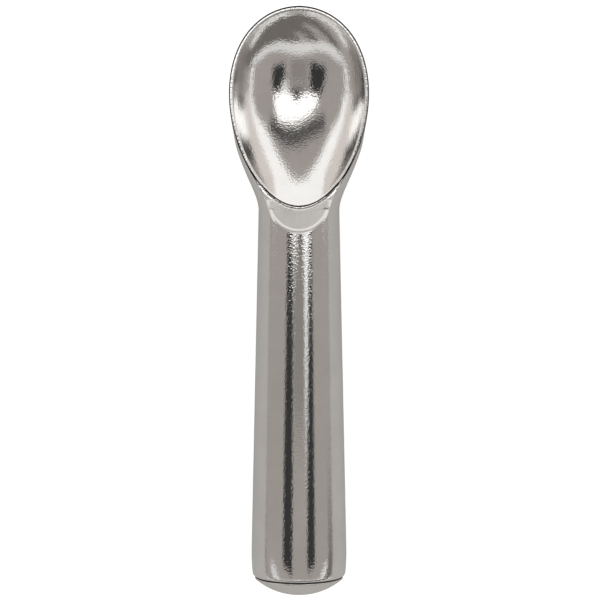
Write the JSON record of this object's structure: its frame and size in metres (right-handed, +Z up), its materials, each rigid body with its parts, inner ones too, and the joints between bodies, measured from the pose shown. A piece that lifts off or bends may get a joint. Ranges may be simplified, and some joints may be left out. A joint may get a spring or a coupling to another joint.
{
  "type": "ice cream dipper",
  "caption": "One-piece metal ice cream dipper with an egg-shaped bowl, a bevelled neck and a thick hollow handle filled with liquid and closed by a domed cap.",
  "frame": {"origin": "under the middle of the dipper, on the surface that it lies on", "axes": "+Y from the cap to the tip of the bowl, +Z up out of the bowl, +X to the right of someone looking along +Y"},
  "size_m": [0.0428, 0.18, 0.0292],
  "materials": {
    "cast_aluminium": "satin",
    "cap_aluminium": "satin",
    "gasket_rubber": "matte",
    "seal_rubber": "satin",
    "liquid": "gloss"
  },
  "bodies": {
    "root": {"scoop_body": "cast_aluminium", "end_cap": "cap_aluminium", "cap_gasket": "gasket_rubber", "seal_ring": "seal_rubber", "heat_transfer_fluid": "liquid"}
  },
  "joints": []
}
